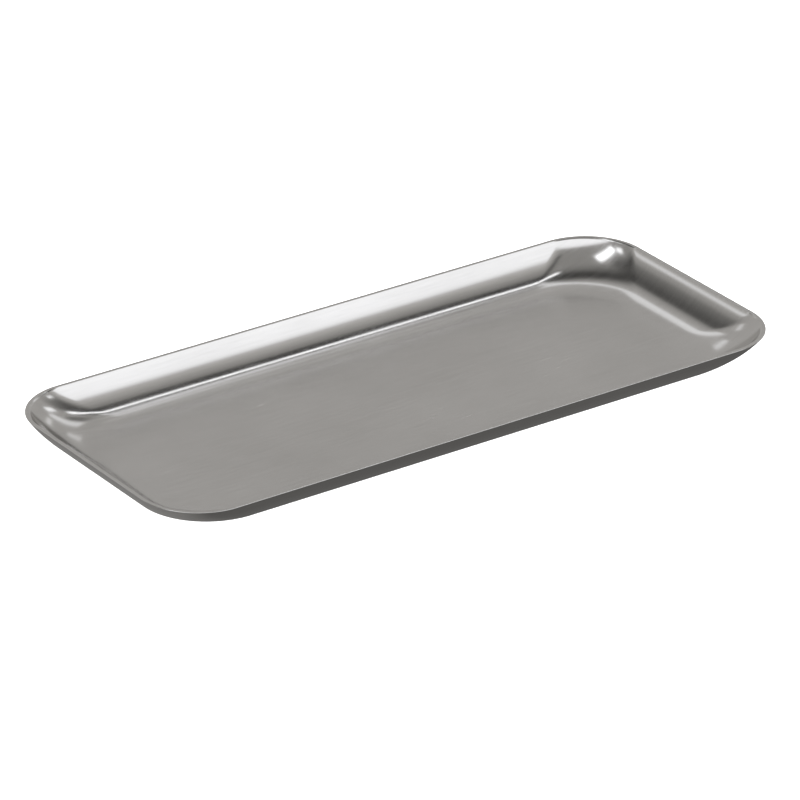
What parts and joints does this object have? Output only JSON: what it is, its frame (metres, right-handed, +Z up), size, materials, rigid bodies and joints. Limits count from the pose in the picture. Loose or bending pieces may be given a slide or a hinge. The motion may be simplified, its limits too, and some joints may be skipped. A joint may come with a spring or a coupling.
{
  "type": "pill counting tray",
  "caption": "Shallow oblong tray pressed from one stainless sheet, with a flat brushed floor, a rounded cove and bowed wall all round and a thin flat rim.",
  "frame": {"origin": "centre of the underside, where the tray stands", "axes": "+X along the tray, +Y across it, +Z up out of the tray"},
  "size_m": [0.22, 0.0968, 0.0111],
  "materials": {
    "steel": "fine brush lines along the tray, satin floor, brighter cove"
  },
  "bodies": {
    "root": {"tray": "steel"}
  },
  "joints": []
}
